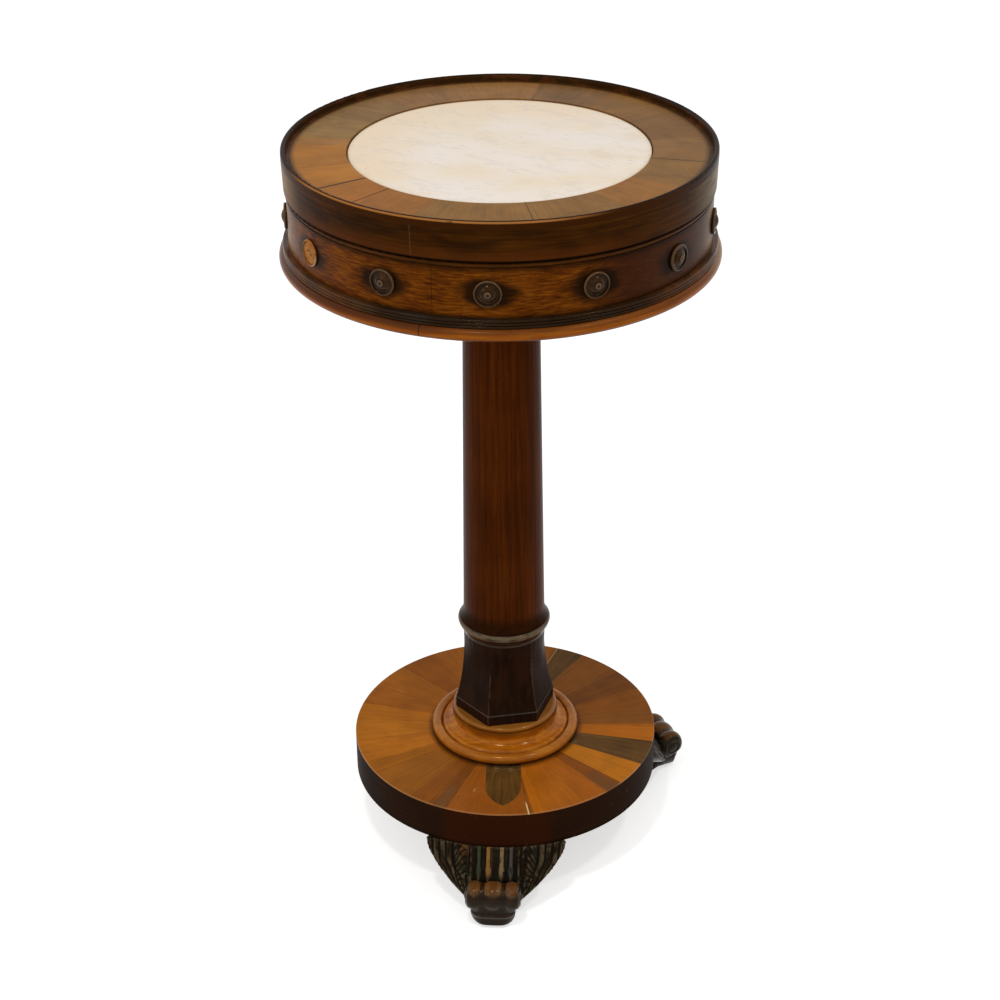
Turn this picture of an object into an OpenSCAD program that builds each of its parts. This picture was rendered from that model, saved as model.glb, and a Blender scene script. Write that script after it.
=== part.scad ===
// Round pedestal table of the 1830s, with a marble disc let into a deep hinged lid.
// A shallow well for games lies under the lid. A turned column stands on a flared
// hexagonal block, a turned socle, a round platform and three carved scroll feet.
// Millimetres, Z up, origin on the floor under the column's axis, front towards -Y.

/* [Overall] */
// Height from the floor to the top of the gallery lip
table_h = 756; // [700:1:800]
// Clearance left between faces that meet when the lid shuts
lid_gap = 0.2; // [0.1:0.05:0.4]

/* [Lid] */
// Radius of the lid at its top edge
lid_r = 201.5; // [196:0.5:204]
// How much smaller the lid's radius is at its bottom edge
lid_taper = 1; // [0:0.25:2]
// Height of the lid from the joint to the top of the lip
lid_h = 37; // [34:0.5:42]
// Thickness of the lid's hoop
lid_wall = 18.5; // [16:0.5:22]
// Radius of the marble disc
marble_r = 140; // [120:1:150]
// Thickness of the marble disc
marble_t = 15; // [12:1:18]
// Depth of the tray between the lip's top and the veneer
lip_h = 6.5; // [4:0.5:8]
// Width of the lip's rounded top
lip_w = 4.8; // [4:0.2:6]
// Width of the lip's hollow inner slope
lip_cove = 4.2; // [3:0.2:6]

/* [Drum] */
// Radius of the veneered frieze
frieze_r = 198.5; // [194:0.5:199]
// Height of the veneered frieze
frieze_h = 45.8; // [42:0.2:50]
// Height of the ebonised bead under the lid
bead_h = 6.3; // [5:0.1:8]
// Height of the band of three reeds
reeding_h = 8.7; // [8:0.1:12]
// Radius of the band of reeds
reeding_r = 204; // [202:0.5:206]
// Height of the drum's bottom moulding
torus_h = 11.5; // [10:0.5:14]
// Radius of the drum's bottom moulding
torus_r = 208; // [207.5:0.1:210]
// Thickness of the drum's hoop
hoop_wall = 18; // [16:0.5:20]
// Thickness of the drum's floor
floor_t = 12; // [8:1:15]
// Diameter of a turned boss
boss_d = 25; // [20:0.5:28]
// How far a boss stands out
boss_h = 5.4; // [4:0.2:7]

/* [Column] */
// Radius at the top of the shaft
shaft_top_r = 36.9; // [34:0.1:39]
// Radius at the foot of the shaft
shaft_foot_r = 41.8; // [40:0.1:43]
// Radius of the astragal's bead
collar_r = 47.5; // [45:0.1:49]
// Height of the collar
collar_h = 17.5; // [15:0.5:20]
// Height of the hexagonal block
block_h = 91.5; // [85:0.5:100]
// Corner radius of the hexagonal block at its foot
block_r = 52; // [50:0.5:54]
// Turn of the hexagonal block about the column
block_turn = 14; // [0:1:59]
// Radius of the tenon through the block, socle and platform
tenon_r = 17; // [12:1:20]
// Radius of the bearer under the drum
bearer_r = 95; // [80:1:110]
// Thickness of the bearer
bearer_t = 18; // [15:1:24]

/* [Base] */
// Radius of the platform
platform_r = 158.5; // [155:0.5:160]
// Thickness of the platform
platform_h = 41; // [36:1:44]
// Radius of the socle
socle_r = 77; // [75:0.2:80]
// Height of the socle
socle_h = 30.5; // [28:0.5:33]
// Direction of the front foot
front_foot_at = -90; // [-100:1:-80]
// Direction of the right foot
right_foot_at = 30; // [20:1:40]
// Direction of the left foot
left_foot_at = 137; // [130:1:155]

/* [Foot] */
// Height of a foot
foot_h = 66; // [60:1:72]
// Distance of the roll's axis from the column's axis
eye_u = 193; // [188:0.5:195]
// Height of the roll's axis
eye_z = 31.5; // [30:0.5:34]
// Radius of the three-lobed roll
roll_r = 15; // [13:0.5:15]
// Half width of the roll
roll_half_w = 26.5; // [24:0.5:28]
// Half width of the roll's middle lobe
lobe_half_w = 10.8; // [8:0.2:12]
// Half width of the leaf carving under the platform's edge
leaf_half_w = 72; // [64:1:75]

/* [Hinges] */
// Distance of each hinge's middle from the table's middle
hinge_x = 27; // [22:1:40]
// Width of a hinge
hinge_w = 26; // [20:1:30]
// Radius of a hinge's knuckle
knuckle_r = 3.1; // [2.8:0.1:3.2]
// Thickness of a hinge's leaf
leaf_t = 1.8; // [1.4:0.1:2.2]
// Radius of a hinge pin
pin_r = 1.3; // [1:0.1:1.5]
// Running clearance round a hinge pin
pin_play = 0.05; // [0.02:0.01:0.1]

/* [Hidden] */

eps = 0.01;
around = 96;
fine_around = 720;

// Heights, from the floor up
platform_z = foot_h;
platform_top = platform_z + platform_h;
block_z = platform_top + socle_h;
collar_z = block_z + block_h;
shaft_z = collar_z + collar_h;

// Heights, from the top down
tray_z = table_h - lip_h;
lid_z = table_h - lid_h;
hoop_top = lid_z - lid_gap;
frieze_top = hoop_top - bead_h;
frieze_z = frieze_top - frieze_h;
torus_top = frieze_z - reeding_h;
torus_z = torus_top - torus_h;
floor_z = torus_z + 3.5;
bearer_z = floor_z - bearer_t;

// Lid pieces
veneer_t = 1.5;
lid_foot_r = lid_r - lid_taper;
lid_inner_r = lid_foot_r - lid_wall;
lip_foot_r = lid_r - lip_w - lip_cove;
marble_seat_r = marble_r + 1.2;
marble_top = tray_z - 1;
marble_z = marble_top - marble_t;
lid_core_z = lid_z + 2;
marble_arris = 0.8;

// Drum pieces
hoop_inner_r = frieze_r - hoop_wall;
reeding_seat_r = frieze_r - 8.5;
bead_seat_r = frieze_r - 3;
bead_r = frieze_r + 1;
lining_t = 1.5;
boss_z = (frieze_z + frieze_top) / 2;
boss_count = 13;
first_boss_at = -89.3;
worn_boss = 12;
boss_back = 1;

// Hinges: the pin's axis lies just outside the lid's back
knuckle_clear = 0.5;
hinge_y = lid_foot_r + knuckle_r + knuckle_clear;
hinge_z = lid_z - lid_gap / 2;
hinge_leaf_in = 184;
hinge_leaf_out = hinge_y - knuckle_r - knuckle_clear;
knuckle_gap = 0.2;
hinge_screw_y = 188.5;
hinge_screw_dx = 7;
hinge_screw_l = 11;
hinge_screw_r = 1.3;
hinge_screw_head_r = 2.7;

// Joinery under the drum and in the platform
bearer_screw_at = 72;
bearer_screw_r = 2.2;
bearer_screw_head_r = 4.2;
bearer_screw_l = 26;
tenon_foot_z = platform_z + 2;
wedge_l = 24;
wedge_t = 3.5;
wedge_thin_t = 1.2;
band_t = 2.5;
core_r = platform_r - band_t;
core_top = platform_top - veneer_t;

// Dark wedges of the platform's veneer, each a direction and a half angle, and the shield patch
dark_wedges = [[-16.3, 7.7], [66.1, 5.5]];
shield_at = -87.3;
shield_half_w = 18;
shield_shoulder_r = 112;
shield_tip_r = 144;

// Column
block_shoulder_r = 41.9;
block_neck_r = 42.8;
block_facets = 6;
block_sides = 36;
block_line = 11.5;
block_rings = 18;
block_round_share = 0.5;
tenon_in_bearer = bearer_t - 1;

// Foot
crest_start = platform_r - 0.5;
knee_steps = 6;
leaf_stations = 9;
flute_edges = [-1, -0.665, -0.28, 0.28, 0.665, 1];
flute_places = [-0.6, 0, 0.6];
flute_depth = 2;
flute_half_w = 24.5;
lobe_sink = 3.6;
toe_half_w = 20.5;
sole_back = 160;
foot_back = 98;
foot_screw_at = [112, 134];
foot_screw_r = 2.3;
foot_screw_head_r = 4.6;
foot_screw_l = 38;
foot_screw_seat = 51;
volute_r = 9;
volute_proud = 1.6;

function mix(a, b, t) = a + (b - a) * t;
function curve(p, t) =
    pow(1 - t, 3) * p[0] + 3 * t * pow(1 - t, 2) * p[1] + 3 * t * t * (1 - t) * p[2] + pow(t, 3) * p[3];

// Wooden ring between two radii and two heights
module ring(r_in, r_out, z_low, z_high) {
    translate([0, 0, z_low])
        difference() {
            cylinder(h = z_high - z_low, r = r_out, $fn = around);
            translate([0, 0, -1])
                cylinder(h = z_high - z_low + 2, r = r_in, $fn = around);
        }
}

// Countersunk wood screw, head up at the origin, pointing down
module wood_screw(len, r, head_r) {
    sink = head_r - r;
    translate([0, 0, -sink])
        cylinder(h = sink, r1 = r, r2 = head_r, $fn = 32);
    translate([0, 0, -len])
        cylinder(h = len - sink + eps, r = r, $fn = 32);
}

// Marble disc with an eased top arris
module marble_disc() {
    color("#e6d6be")
        rotate_extrude($fn = around)
            polygon([
                [0, marble_z],
                [marble_r, marble_z],
                [marble_r, marble_top - marble_arris],
                [marble_r - marble_arris, marble_top],
                [0, marble_top]
            ]);
}

// Radial veneer round the marble
module top_crossbanding() {
    color("#8c6444")
        ring(marble_seat_r, lip_foot_r, tray_z - veneer_t, tray_z);
}

// Raised lip round the top: a rounded bead with a hollow slope inside
module gallery_lip() {
    bead_c = lid_r - lip_w / 2;
    color("#2d1a0b")
        rotate_extrude($fn = around)
            union() {
                difference() {
                    translate([lip_foot_r, tray_z - veneer_t])
                        square([lid_r - lip_foot_r, lip_h + veneer_t - lip_w / 2]);
                    translate([lip_foot_r, tray_z + lip_cove + 0.3])
                        circle(r = lip_cove, $fn = 48);
                    translate([lip_foot_r - 1, tray_z + 0.3])
                        square([lip_cove + 1, lip_h]);
                }
                translate([bead_c, table_h - lip_w / 2])
                    circle(r = lip_w / 2, $fn = 48);
            }
}

// Deep side of the lid, tapering a little towards its foot
module lid_band() {
    color("#42230f")
        difference() {
            rotate_extrude($fn = around)
                polygon([
                    [lid_inner_r, lid_z],
                    [lid_foot_r - 0.6, lid_z],
                    [lid_foot_r, lid_z + 0.6],
                    [lid_r, tray_z - veneer_t],
                    [lid_inner_r, tray_z - veneer_t]
                ]);
            lid_leaf_mortises();
            lid_hinge_screws();
        }
}

// Solid ring round the marble, which carries the veneer
module lid_ground_ring() {
    color("#a9784b")
        ring(marble_seat_r, lid_inner_r, marble_z, tray_z - veneer_t);
}

// Board under the marble, which closes the lid from below
module lid_core() {
    color("#7a4a28")
        translate([0, 0, lid_core_z])
            cylinder(h = marble_z - lid_core_z, r = lid_inner_r, $fn = around);
}

// Ranges of a hinge's three knuckles along X: the middle one belongs to the lid
function knuckle_span(k) =
    [-hinge_w / 2 + k * hinge_w / 3 + (k > 0 ? knuckle_gap / 2 : 0),
     -hinge_w / 2 + (k + 1) * hinge_w / 3 - (k < 2 ? knuckle_gap / 2 : 0)];

module along_x(span, r, n) {
    translate([span[0], hinge_y, hinge_z])
        rotate([0, 90, 0])
            cylinder(h = span[1] - span[0], r = r, $fn = n);
}

// One leaf: plate, knuckles on it and the bore through them
module hinge_leaf(spans, z_low, bore_r) {
    difference() {
        union() {
            translate([-hinge_w / 2, hinge_leaf_in, z_low])
                cube([hinge_w, hinge_leaf_out - hinge_leaf_in, leaf_t]);
            for (span = spans) {
                translate([span[0], hinge_leaf_out - eps, z_low])
                    cube([span[1] - span[0], hinge_y - hinge_leaf_out, leaf_t]);
                along_x(span, knuckle_r, 40);
            }
        }
        along_x([-hinge_w, hinge_w], bore_r, 32);
    }
}

module lid_leaf(side) {
    color("#b08d4a")
        difference() {
            translate([side * hinge_x, 0, 0])
                hinge_leaf([knuckle_span(1)], lid_z, pin_r + pin_play);
            lid_hinge_screws();
        }
}

module frieze_leaf(side) {
    color("#b08d4a")
        difference() {
            translate([side * hinge_x, 0, 0])
                hinge_leaf([knuckle_span(0), knuckle_span(2)], hoop_top - leaf_t, pin_r);
            frieze_hinge_screws();
        }
}

// Mortises for the leaves, open at the back
module leaf_mortise(z_low) {
    for (side = [-1, 1])
        translate([side * hinge_x - hinge_w / 2, hinge_leaf_in, z_low])
            cube([hinge_w, hinge_leaf_out + 2 - hinge_leaf_in, leaf_t + 1]);
}

module lid_leaf_mortises() {
    translate([0, 0, -1])
        leaf_mortise(lid_z);
}

module frieze_leaf_mortises() {
    leaf_mortise(hoop_top - leaf_t);
}

module hinge_screws(z_face, up) {
    for (side = [-1, 1], dx = [-hinge_screw_dx, hinge_screw_dx])
        translate([side * hinge_x + dx, hinge_screw_y, z_face])
            rotate([up ? 180 : 0, 0, 0])
                wood_screw(hinge_screw_l, hinge_screw_r, hinge_screw_head_r);
}

module lid_hinge_screws() {
    color("#c2a05a")
        hinge_screws(lid_z, true);
}

module frieze_hinge_screws() {
    color("#c2a05a")
        hinge_screws(hoop_top, false);
}

module hinge_pin(side) {
    color("#c2a05a")
        translate([side * hinge_x, 0, 0])
            along_x([-hinge_w / 2, hinge_w / 2], pin_r, 32);
}

// Laminated hoop of the drum, with seats for the bead and the reeding
module frieze_hoop() {
    color("#7c451c")
        difference() {
            rotate_extrude($fn = around)
                polygon([
                    [hoop_inner_r, torus_top],
                    [reeding_seat_r, torus_top],
                    [reeding_seat_r, frieze_z],
                    [frieze_r, frieze_z],
                    [frieze_r, frieze_top],
                    [bead_seat_r, frieze_top],
                    [bead_seat_r, hoop_top],
                    [hoop_inner_r, hoop_top]
                ]);
            frieze_leaf_mortises();
            frieze_hinge_screws();
        }
}

// Ebonised bead let into the drum's top edge
module frieze_bead() {
    bead_mid = (frieze_top + hoop_top) / 2;
    color("#1f1812")
        difference() {
            rotate_extrude($fn = around)
                union() {
                    translate([bead_seat_r, frieze_top])
                        square([frieze_r - bead_seat_r - 1, bead_h]);
                    translate([bead_r - 1.9, bead_mid])
                        circle(r = 1.9, $fn = 40);
                }
            frieze_leaf_mortises();
        }
}

module drum_floor() {
    color("#8a5a34")
        difference() {
            translate([0, 0, floor_z])
                cylinder(h = floor_t, r = hoop_inner_r, $fn = around);
            bearer_screws();
        }
}

// Baize lining of the well's floor
module well_lining() {
    color("#3d5a3a")
        translate([0, 0, floor_z + floor_t])
            cylinder(h = lining_t, r = hoop_inner_r - 1, $fn = around);
}

// Three fine reeds round the foot of the frieze, on one strip
module reeded_moulding() {
    reed_r = reeding_h / 6;
    color("#32211a")
        rotate_extrude($fn = around)
            union() {
                translate([reeding_seat_r, torus_top])
                    square([reeding_r - 1.2 - reeding_seat_r, reeding_h]);
                for (k = [0 : 2])
                    translate([reeding_r - reed_r, torus_top + reed_r * (2 * k + 1)])
                        circle(r = reed_r, $fn = 32);
            }
}

// Bottom moulding of the drum: a full rounded thumb over a small quirk
module base_torus() {
    round_r = torus_h / 2;
    color("#925129")
        rotate_extrude($fn = around)
            union() {
                translate([hoop_inner_r, torus_z])
                    square([torus_r - round_r - hoop_inner_r, torus_h]);
                translate([torus_r - round_r, torus_z + round_r])
                    circle(r = round_r, $fn = 48);
            }
}

// Turned boss: a rim bead, a quirk, a dome and a button in a dimple
module boss_profile() {
    rim = 1.4;
    dome_r = boss_d / 2 * 0.74;
    dome_sphere = (dome_r * dome_r + boss_h * boss_h) / (2 * boss_h);
    difference() {
        union() {
            translate([0, -boss_back])
                square([boss_d / 2 - rim, boss_back + 1.6]);
            translate([boss_d / 2 - rim, rim])
                circle(r = rim, $fn = 32);
            intersection() {
                translate([0, boss_h - dome_sphere])
                    circle(r = dome_sphere, $fn = 96);
                square([dome_r, boss_h + 1]);
            }
        }
        translate([3.1, boss_h + 0.1])
            circle(r = 0.8, $fn = 32);
    }
}

// Disc left where a boss has lost its dome, with two nail holes
module worn_boss_solid() {
    rim = 1.1;
    nail_r = 0.9;
    difference() {
        rotate_extrude($fn = 64)
            union() {
                translate([0, -boss_back])
                    square([boss_d / 2 - rim, boss_back + 1.3]);
                translate([boss_d / 2 - rim, rim])
                    circle(r = rim, $fn = 32);
            }
        for (hole = [[-2.5, 1.5], [-1.5, -3]])
            translate([hole[0], hole[1], -0.4])
                cylinder(h = 4, r = nail_r, $fn = 24);
    }
}

module boss(k) {
    turn = first_boss_at + 360 / boss_count * (k - 1);
    color(k == worn_boss ? "#b57f49" : "#4a2d19")
        difference() {
            rotate([0, 0, turn])
                translate([frieze_r, 0, boss_z])
                    rotate([0, 90, 0])
                        if (k == worn_boss)
                            worn_boss_solid();
                        else
                            rotate_extrude($fn = 64)
                                boss_profile();
            cylinder(h = table_h, r = frieze_r, $fn = fine_around);
        }
}

// Turned disc that carries the drum on the shaft
module bearer() {
    chamfer = 3;
    color("#6b4a2c")
        difference() {
            rotate_extrude($fn = around)
                polygon([
                    [tenon_r, bearer_z],
                    [bearer_r - chamfer, bearer_z],
                    [bearer_r, bearer_z + chamfer],
                    [bearer_r, floor_z],
                    [tenon_r, floor_z]
                ]);
            bearer_screws();
        }
}

module bearer_screws() {
    color("#57534c")
        for (turn = [45 : 90 : 315])
            rotate([0, 0, turn])
                translate([bearer_screw_at, 0, bearer_z])
                    rotate([180, 0, 0])
                        wood_screw(bearer_screw_l, bearer_screw_r, bearer_screw_head_r);
}

// Tapered shaft with a hollow flare at its foot and a tenon at each end
module shaft() {
    flare_h = 13;
    flare = 3.6;
    lead = shaft_top_r + (shaft_foot_r - shaft_top_r) * (bearer_z - shaft_z - flare_h) / (bearer_z - shaft_z);
    color("#3a2010")
        difference() {
            rotate_extrude($fn = around)
                polygon(concat(
                    [
                        [0, tenon_foot_z],
                        [tenon_r, tenon_foot_z],
                        [tenon_r, shaft_z]
                    ],
                    [for (t = [0 : 0.125 : 1])
                        [lead + flare * pow(1 - t, 2), shaft_z + flare_h * t]],
                    [
                        [shaft_top_r, bearer_z],
                        [tenon_r, bearer_z],
                        [tenon_r, bearer_z + tenon_in_bearer],
                        [0, bearer_z + tenon_in_bearer]
                    ]
                ));
            tenon_wedge();
        }
}

// Wedge that spreads the tenon in the platform
module tenon_wedge() {
    wedge_w = tenon_r * 1.7;
    color("#b98f5a")
        translate([0, 0, tenon_foot_z])
            rotate([90, 0, 0])
                linear_extrude(height = wedge_w, center = true)
                    polygon([
                        [-wedge_t / 2, 0],
                        [wedge_t / 2, 0],
                        [wedge_thin_t / 2, wedge_l],
                        [-wedge_thin_t / 2, wedge_l]
                    ]);
}

// Astragal: a slim bead with a hollow throat below it
module collar() {
    bead = 3.2;
    land = 4;
    throat = 11;
    color("#2a1b12")
        difference() {
            rotate_extrude($fn = around)
                union() {
                    difference() {
                        translate([tenon_r, collar_z])
                            square([collar_r - 1 - tenon_r, collar_h - land]);
                        translate([block_shoulder_r + throat, collar_z + 1])
                            circle(r = throat, $fn = 96);
                    }
                    translate([tenon_r, collar_z + collar_h - land - eps])
                        square([collar_r - bead - tenon_r, land + eps]);
                    translate([collar_r - bead, collar_z + collar_h - land])
                        circle(r = bead, $fn = 48);
                }
            translate([0, 0, collar_z - 1])
                cylinder(h = collar_h + 2, r = tenon_r, $fn = around);
        }
}

// Radius of a hexagon of corner radius 1 in one direction
function hexagon(a) = cos(30) / cos(((a + 600) % 60) - 30);

// Outline of the block at a share t of its height, from round at the top to six flat sides
function block_ring(t) =
    let (ease = min(1, t / block_round_share),
         flat = ease * ease * (3 - 2 * ease),
         swell = min(1, t / block_line_t),
         r = mix(block_neck_r, block_r, pow(swell, 3)),
         nick = abs(t - block_line_t) < 0.004 ? 0.9 : 0)
    [for (k = [0 : block_sides - 1])
        let (a = k * 360 / block_sides,
             rr = mix(block_shoulder_r, r * hexagon(a), flat) - nick)
        [rr * cos(a + block_turn), rr * sin(a + block_turn), block_z + block_h * (1 - t)]];

// Shares of the height at which the block's outline is taken, closer at the incised line
block_line_t = 1 - block_line / block_h;
block_steps = concat(
    [for (k = [0 : block_rings - 5]) k * (block_line_t - 0.03) / (block_rings - 5)],
    [block_line_t - 0.006, block_line_t, block_line_t + 0.006, 1]
);

// Middle of a ring of points
function middle(ring) = [for (k = [0 : 2]) (min([for (p = ring) p[k]]) + max([for (p = ring) p[k]])) / 2];

// Closed skin through a list of rings with the same number of points, each end a fan from its middle
module skin(rings) {
    n = len(rings[0]);
    m = len(rings);
    first = n * m;
    points = concat([for (r = rings) for (p = r) p], [middle(rings[0]), middle(rings[m - 1])]);
    walls = [for (i = [0 : m - 2]) for (k = [0 : n - 1])
        let (a = i * n + k, b = i * n + (k + 1) % n)
        each [[a, b, b + n], [a, b + n, a + n]]];
    polyhedron(
        points = points,
        faces = concat(
            walls,
            [for (k = [0 : n - 1]) [(k + 1) % n, k, first]],
            [for (k = [0 : n - 1]) [(m - 1) * n + k, (m - 1) * n + (k + 1) % n, first + 1]]
        ),
        convexity = 6
    );
}

// Flared hexagonal block, bored for the tenon
module hexagonal_block() {
    color("#2b1f16")
        difference() {
            skin([for (t = block_steps) block_ring(t)]);
            translate([0, 0, block_z - 1])
                cylinder(h = block_h + 2, r = tenon_r, $fn = around);
        }
}

// Turned socle: outer bead, quirk, swelling, hollow and neck ring
module socle() {
    bead_c = 5.3;
    swell_r = 9;
    neck_r = 54.6;
    neck_h = 6;
    color("#a5662c")
        difference() {
            rotate_extrude($fn = around)
                difference() {
                    union() {
                        translate([tenon_r, platform_top])
                            square([socle_r - bead_c - tenon_r, 3.4]);
                        translate([socle_r - bead_c, platform_top + bead_c])
                            circle(r = bead_c, $fn = 48);
                        translate([tenon_r, platform_top])
                            square([neck_r + 1 - tenon_r, socle_h - neck_h]);
                        translate([neck_r + 3.6, platform_top + 3.4])
                            circle(r = swell_r, $fn = 64);
                        translate([tenon_r, platform_top + socle_h - neck_h])
                            square([neck_r - neck_h / 2 - tenon_r, neck_h]);
                        translate([neck_r - neck_h / 2, platform_top + socle_h - neck_h / 2])
                            circle(r = neck_h / 2, $fn = 48);
                    }
                    translate([neck_r + 6.2, platform_top + socle_h - neck_h - 7.2])
                        circle(r = 7.2, $fn = 64);
                    translate([0, platform_top - 50])
                        square([socle_r + 10, 50]);
                }
            translate([0, 0, platform_top - 1])
                cylinder(h = socle_h + 2, r = tenon_r, $fn = around);
        }
}

module platform_core() {
    color("#8d6a42")
        difference() {
            ring(tenon_r, core_r, platform_z, core_top);
            foot_screws();
        }
}

// Thin dark band round the platform's edge
module platform_edge_band() {
    color("#21160f")
        ring(core_r, platform_r, platform_z, core_top);
}

module wedge_outline(turn, half) {
    reach = platform_r + 20;
    rotate([0, 0, turn])
        polygon([
            [0, 0],
            [reach, -reach * tan(half)],
            [reach, reach * tan(half)]
        ]);
}

// Shield-shaped patch: straight sides out from the socle, then a pointed arch
module shield_outline() {
    arch = shield_tip_r - shield_shoulder_r;
    arch_r = (pow(shield_half_w, 2) + arch * arch) / (2 * shield_half_w);
    tip_angle = atan2(arch_r - shield_half_w, arch);
    steps = 10;
    side = [for (k = [0 : steps])
        let (a = mix(90, tip_angle, k / steps))
        [shield_shoulder_r + arch_r * cos(a), shield_half_w - arch_r + arch_r * sin(a)]];
    inner = socle_r - 4;
    rotate([0, 0, shield_at])
        polygon(concat(
            [[inner, shield_half_w]],
            side,
            [for (k = [steps - 1 : -1 : 0]) [side[k][0], -side[k][1]]],
            [[inner, -shield_half_w]]
        ));
}

// Sheet of veneer, cut from the top layer by an outline
module veneer_layer() {
    translate([0, 0, core_top])
        linear_extrude(height = veneer_t)
            difference() {
                circle(r = platform_r, $fn = around);
                circle(r = tenon_r, $fn = around);
            }
}

module dark_outlines() {
    for (wedge = dark_wedges)
        wedge_outline(wedge[0], wedge[1]);
}

module platform_veneer() {
    color("#9a5f26")
        difference() {
            veneer_layer();
            translate([0, 0, core_top - 1])
                linear_extrude(height = veneer_t + 2)
                    difference() {
                        dark_outlines();
                        circle(r = socle_r - 20, $fn = around);
                    }
            translate([0, 0, core_top - 1])
                linear_extrude(height = veneer_t + 2)
                    shield_outline();
        }
}

module platform_dark_wedges() {
    color("#5a3c1c")
        intersection() {
            veneer_layer();
            translate([0, 0, core_top - 1])
                linear_extrude(height = veneer_t + 2)
                    difference() {
                        dark_outlines();
                        circle(r = socle_r - 20, $fn = around);
                    }
        }
}

module platform_shield_patch() {
    color("#5f3d1e")
        translate([0, 0, core_top])
            linear_extrude(height = veneer_t)
                shield_outline();
}

// Crest of a foot in its own plane, [out from the axis, up]: a steep fluted face down to
// the roll's back, a few points hidden in the roll, then the toe
knee = [
    [crest_start, foot_h],
    [crest_start + 6, foot_h - 4],
    [eye_u - 23, eye_z + 18.5],
    [eye_u - 14.5, eye_z + 6.5]
];

in_roll = [
    [eye_u - 10, eye_z - 2],
    [eye_u - 6, eye_z - 10],
    [eye_u - 1, eye_z - 14]
];

toe = [
    [eye_u + 5.5, eye_z - roll_r - 0.7],
    [eye_u + 9, eye_z - roll_r - 4],
    [eye_u + 9.6, 7.5],
    [eye_u + 8.8, 2.5],
    [eye_u + 6, 0]
];

crest = concat(
    [for (i = [0 : knee_steps]) curve(knee, i / knee_steps)],
    in_roll,
    toe
);
stations = len(crest);
toe_start = stations - len(toe);

// Outward normal of the crest at a station
function crest_normal(i) =
    let (a = crest[max(0, i - 1)],
         b = crest[min(stations - 1, i + 1)],
         d = (b - a) / norm(b - a))
    [-d[1], d[0]];

// Back of the foot: down and out from the platform to the heel of the toe
heel_foot = [sole_back - 4, 14];
heel = [
    [foot_back, foot_h],
    [foot_back + 12, foot_h - 22],
    [sole_back - 16, eye_z - 1],
    heel_foot
];
function heel_at(i) =
    i < toe_start
        ? curve(heel, i / (toe_start - 1))
        : mix(heel_foot, [sole_back, 0], (i + 1 - toe_start) / len(toe));

// Tip of the leaf, from the platform's edge in to the roll's side
leaf_tip = [
    [146, leaf_half_w, foot_h],
    [156, leaf_half_w - 2, foot_h - 16],
    [173, roll_half_w + 18, eye_z - 4],
    [186, roll_half_w - 2, eye_z - 14]
];

// Shares of the way from the flutes to the leaf's tip, with the carving's height at each
leaf_shares = [0.14, 0.3, 0.44, 0.58, 0.72, 0.86];
leaf_relief = [-3.6, 1.7, -0.7, 1.8, -0.6, 1.4];
leaf_dir = [0.64, 0, 0.77];

function half_w(i) = i <= knee_steps ? flute_half_w : i < toe_start ? flute_half_w - 2.5 : toe_half_w;

// Places across the front, each [share of the half width, share of the flute's depth]
front_places = concat(
    [for (k = [0 : len(flute_edges) - 2])
        each concat(
            [[flute_edges[k], 0]],
            [for (f = flute_places)
                [mix(flute_edges[k], flute_edges[k + 1], (f + 1) / 2), 1 - f * f]]
        )],
    [[1, 0]]
);

function front_point(i, place) =
    let (on_toe = i >= toe_start,
         sink = on_toe ? 5 * pow(abs(place[0]), 4) : i == 0 ? 0 : flute_depth * place[1],
         dir = on_toe ? [1, 0] : crest_normal(i),
         p = crest[i] - dir * sink)
    [p[0], place[0] * half_w(i), p[1]];

// Points down one side of the foot at a station: leaf carving, tip, underside, heel
function flank(i, side) =
    let (s = front_point(i, [side, 0]),
         b2 = heel_at(i),
         back_w = mix(44, toe_half_w - 3, min(1, i / toe_start)),
         b = [b2[0], side * back_w, b2[1]],
         share = min(1, i / leaf_stations),
         tip3 = curve(leaf_tip, share),
         tip = i <= leaf_stations ? [tip3[0], side * tip3[1], tip3[2]] : mix(s, b, 0.12),
         lift = (1 - share) * min(1, i / 3))
    concat(
        [for (k = [0 : len(leaf_shares) - 1])
            mix(s, tip, leaf_shares[k]) + lift * leaf_relief[k] * leaf_dir],
        [tip, mix(tip, b, 0.3) + lift * [-4, 0, -2], b]
    );

function foot_ring(i) =
    let (left = flank(i, -1))
    concat(
        [for (place = front_places) front_point(i, place)],
        flank(i, 1),
        [for (k = [len(left) - 1 : -1 : 0]) left[k]]
    );

// Half of the roll's section: three lobes side by side
module roll_section() {
    edges = [-roll_half_w, -lobe_half_w, lobe_half_w, roll_half_w];
    for (k = [0 : 2]) {
        half = (edges[k + 1] - edges[k]) / 2;
        arc_r = (half * half + lobe_sink * lobe_sink) / (2 * lobe_sink);
        intersection() {
            translate([roll_r - arc_r, edges[k] + half])
                circle(r = arc_r, $fn = 48);
            translate([0, edges[k]])
                square([roll_r + 1, half * 2]);
        }
    }
}

// Lobed roll across the foot's front, with a volute on each end
module roll() {
    translate([eye_u, 0, eye_z])
        rotate([90, 0, 0])
            rotate_extrude($fn = 48)
                roll_section();
    for (side = [-1, 1])
        translate([eye_u, side * (roll_half_w - 2), eye_z])
            rotate([side * -90, 0, 0]) {
                cylinder(h = volute_proud + 2, r = volute_r, $fn = 48);
                cylinder(h = volute_proud + 3.4, r = volute_r * 0.4, $fn = 32);
            }
}

module foot_body() {
    difference() {
        union() {
            skin([for (i = [0 : stations - 1]) foot_ring(i)]);
            roll();
        }
        for (u = foot_screw_at) {
            translate([u, 0, -1])
                cylinder(h = foot_screw_seat + 1, r = foot_screw_head_r + 0.4, $fn = 40);
            translate([u, 0, 0])
                cylinder(h = foot_h + 1, r = foot_screw_r, $fn = 32);
        }
    }
}

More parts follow.
